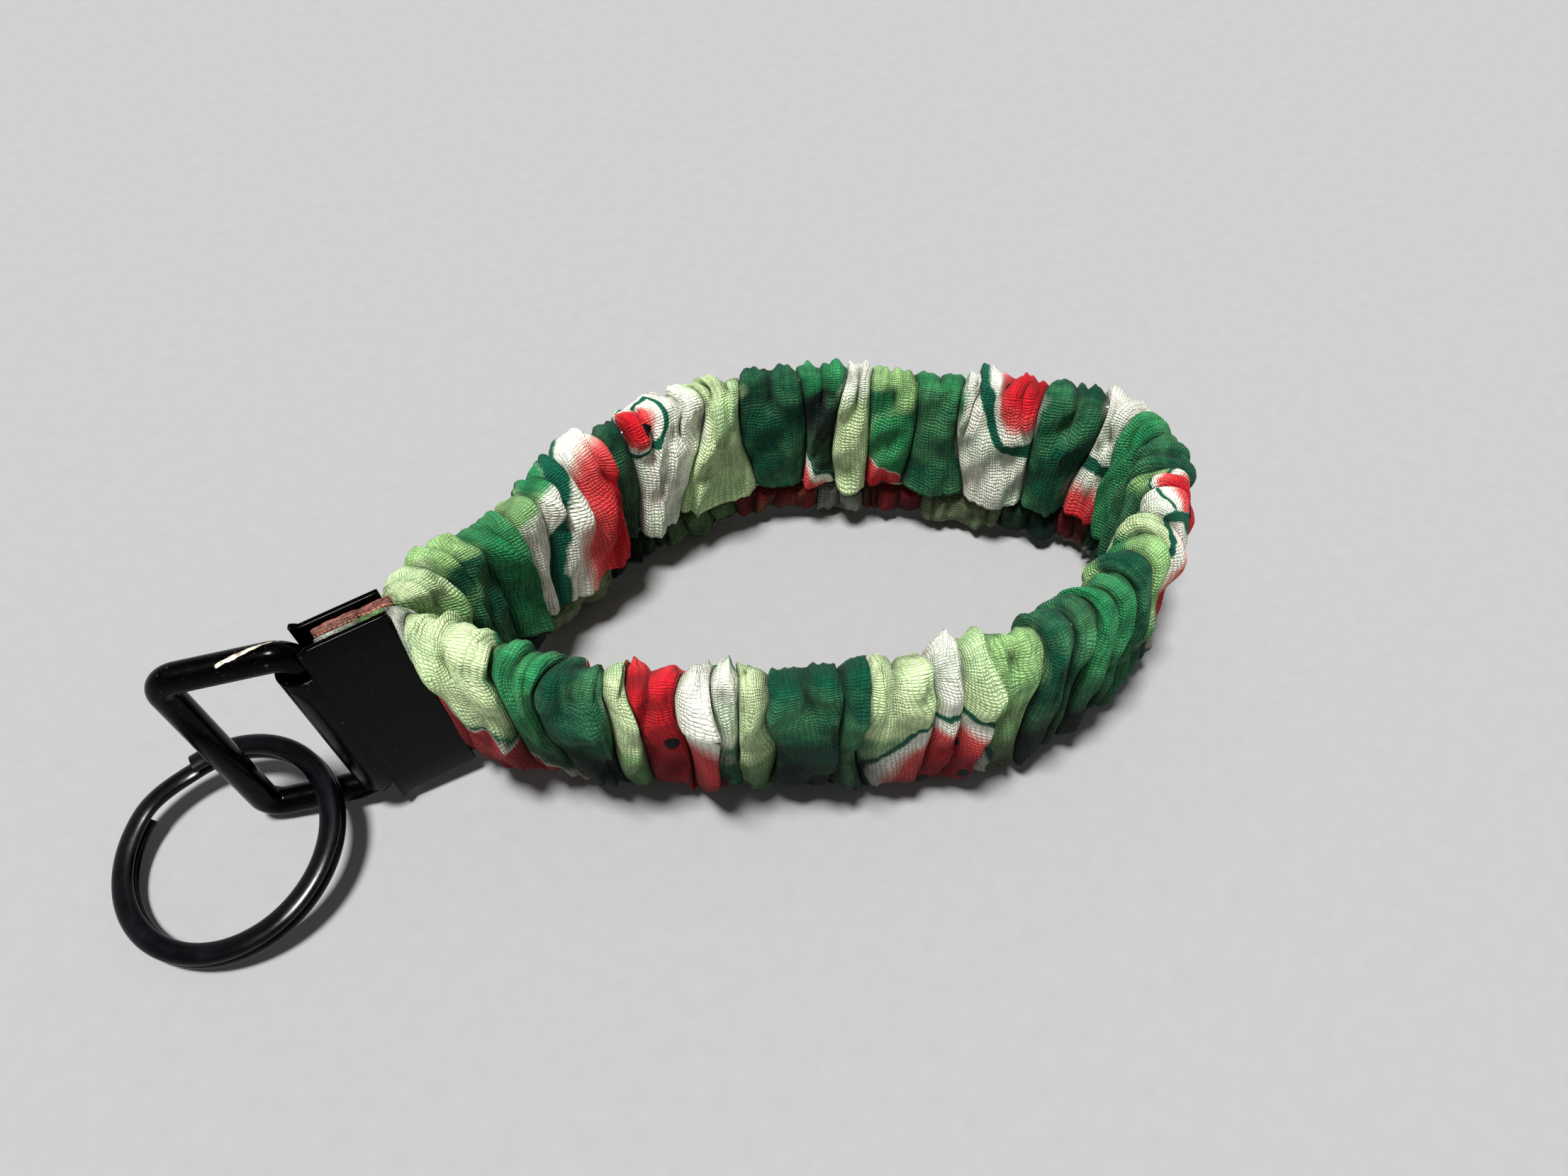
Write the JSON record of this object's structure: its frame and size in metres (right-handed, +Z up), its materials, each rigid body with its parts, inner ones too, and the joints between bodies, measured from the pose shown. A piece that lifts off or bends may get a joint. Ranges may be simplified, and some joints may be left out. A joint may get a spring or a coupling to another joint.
{
  "type": "wristlet keychain",
  "caption": "Wrist strap for keys: a gathered cotton sleeve over elastic, bent into a loop, held in a folded sheet clamp with a swinging wire bail and a split ring.",
  "frame": {"origin": "centre of the object's box on the ground, the strap standing on its edge", "axes": "+Z up; +X along the clamp's plates from the bail towards the strap; +Y towards the far side of the loop"},
  "size_m": [0.1126, 0.0506, 0.0274],
  "materials": {
    "printed_cotton": null,
    "knitted_elastic": "white knitted elastic with lengthwise ribs",
    "sewing_thread": "pale polyester sewing thread",
    "black_enamel": "glossy black enamel on steel, chipped at the bail",
    "black_wire": "glossy black plated spring wire with a slight blue sheen"
  },
  "bodies": {
    "strap": {"fabric_sleeve": "printed_cotton", "elastic_band": "knitted_elastic", "seam_thread": "sewing_thread", "tack_thread": "sewing_thread", "clamp": "black_enamel"},
    "bail": {"bail": "black_enamel"},
    "ring": {"split_ring": "black_wire"}
  },
  "joints": [
    {"name": "bail_swing", "type": "hinge", "parent": "strap", "child": "bail", "pos_m": [-0.0311, 0.00368, 0.01402], "axis": [-0.1132, 0, 0.9936], "range_deg": [-13, 47]},
    {"name": "ring_swing", "type": "hinge", "parent": "bail", "child": "ring", "pos_m": [-0.04221, 0.0071, 0.01275], "axis": [-0.1132, 0, 0.9936], "range_deg": [-130, 8]}
  ]
}
